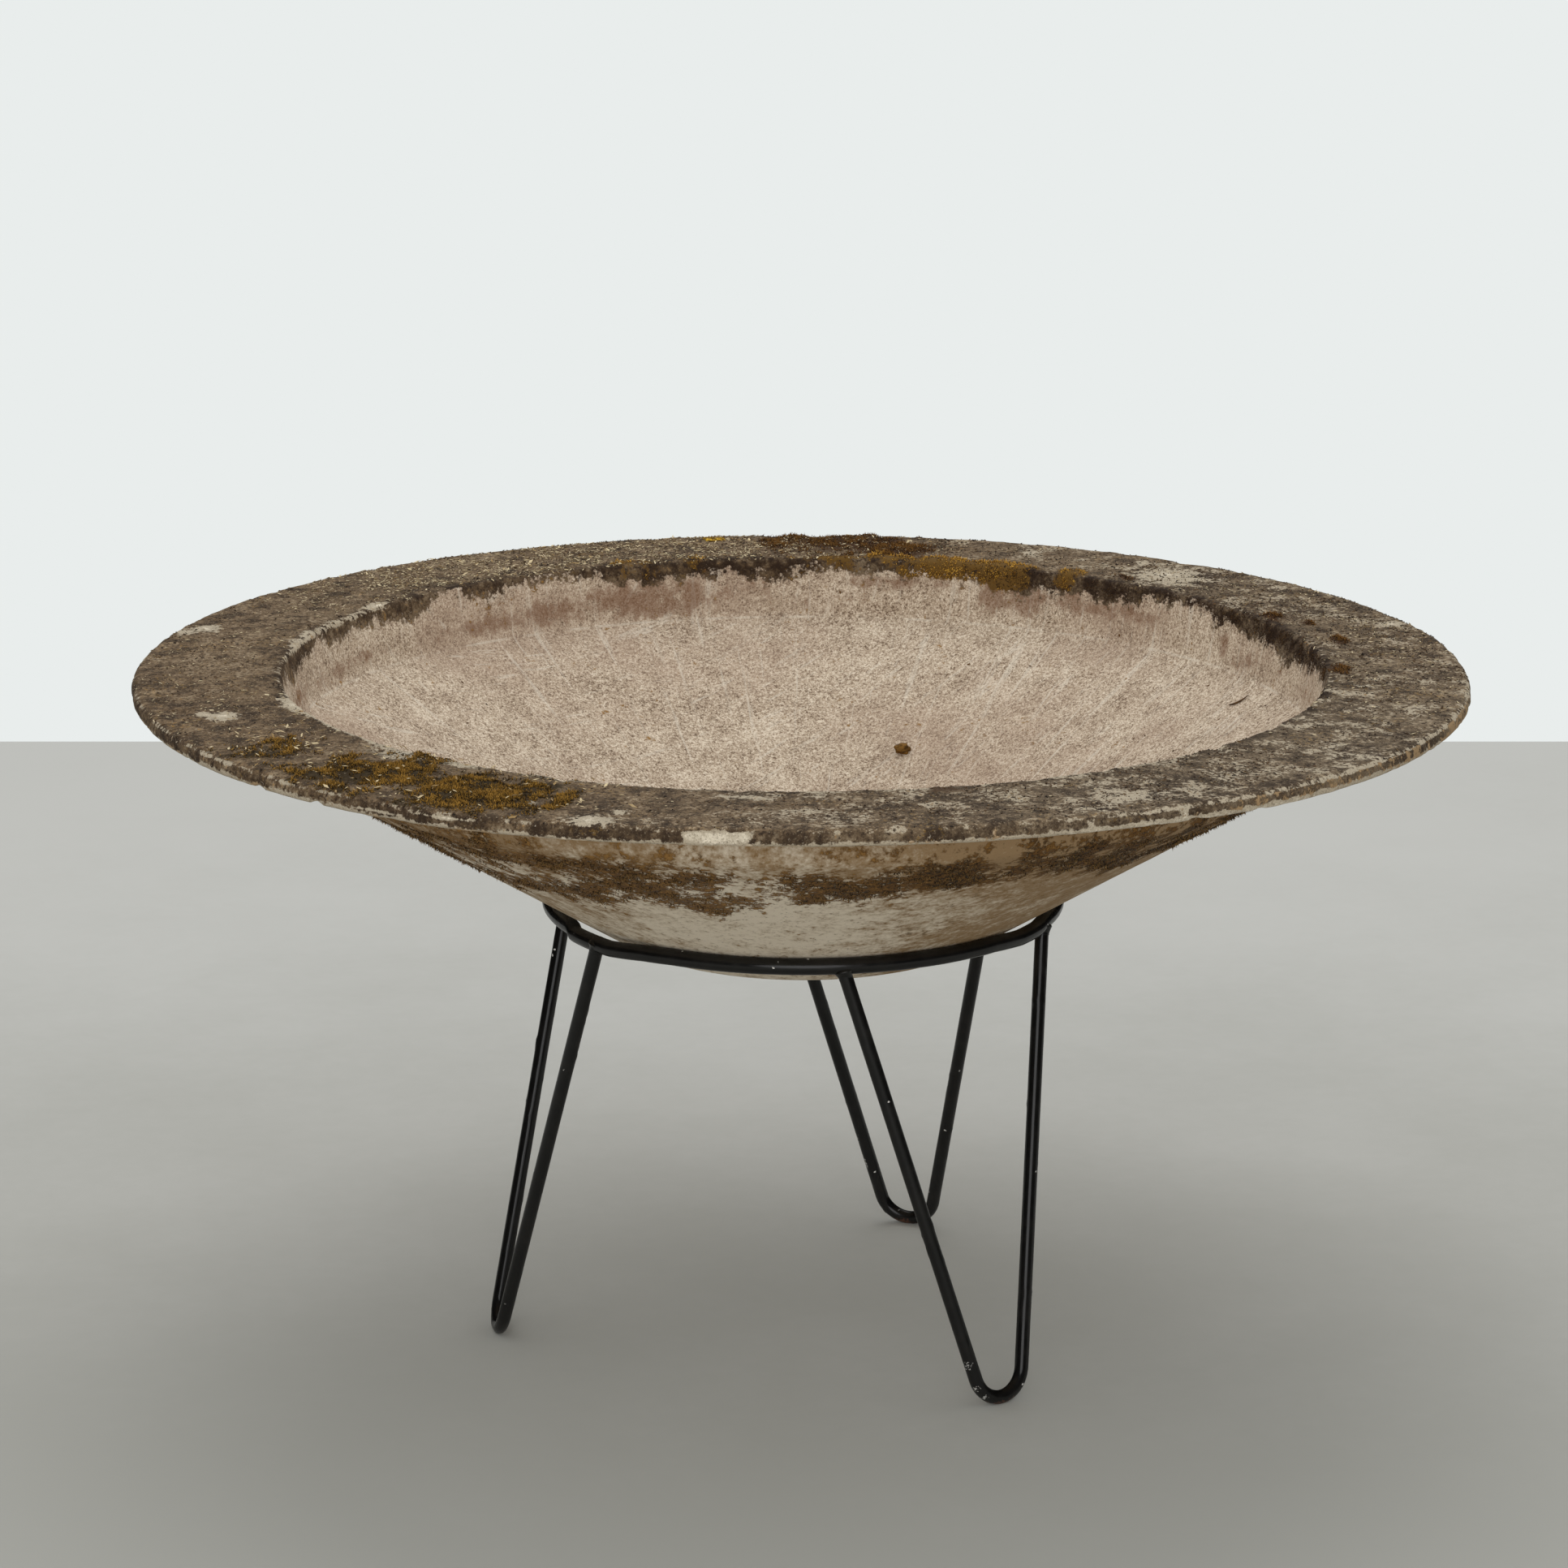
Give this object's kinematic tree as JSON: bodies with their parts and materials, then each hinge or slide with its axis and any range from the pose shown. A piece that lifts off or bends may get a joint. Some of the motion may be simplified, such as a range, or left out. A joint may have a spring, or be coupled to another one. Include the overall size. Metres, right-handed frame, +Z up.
{
  "type": "bowl planter on stand",
  "caption": "Wide shallow planter bowl with a broad flat rim and a conical underside, resting loose in a steel hoop on splayed hairpin legs.",
  "frame": {"origin": "on the floor, under the axis of the bowl", "axes": "+Z up along the bowl's axis, -X towards the left leg of the stand"},
  "size_m": [1, 1, 0.5218],
  "materials": {
    "fibre_cement": "matte, weathered",
    "black_steel": "satin paint"
  },
  "bodies": {
    "stand": {"hoop": "black_steel", "hoop_seam_weld": "black_steel", "leg_front": "black_steel", "leg_front_weld_a": "black_steel", "leg_front_weld_b": "black_steel", "leg_back": "black_steel", "leg_back_weld_a": "black_steel", "leg_back_weld_b": "black_steel", "leg_left": "black_steel", "leg_left_weld_a": "black_steel", "leg_left_weld_b": "black_steel"},
    "bowl": {"bowl": "fibre_cement"}
  },
  "joints": [
    {"name": "bowl_lift", "type": "slide", "parent": "stand", "child": "bowl", "axis": [0, 0, 1], "range_m": [0, 0.2]}
  ]
}
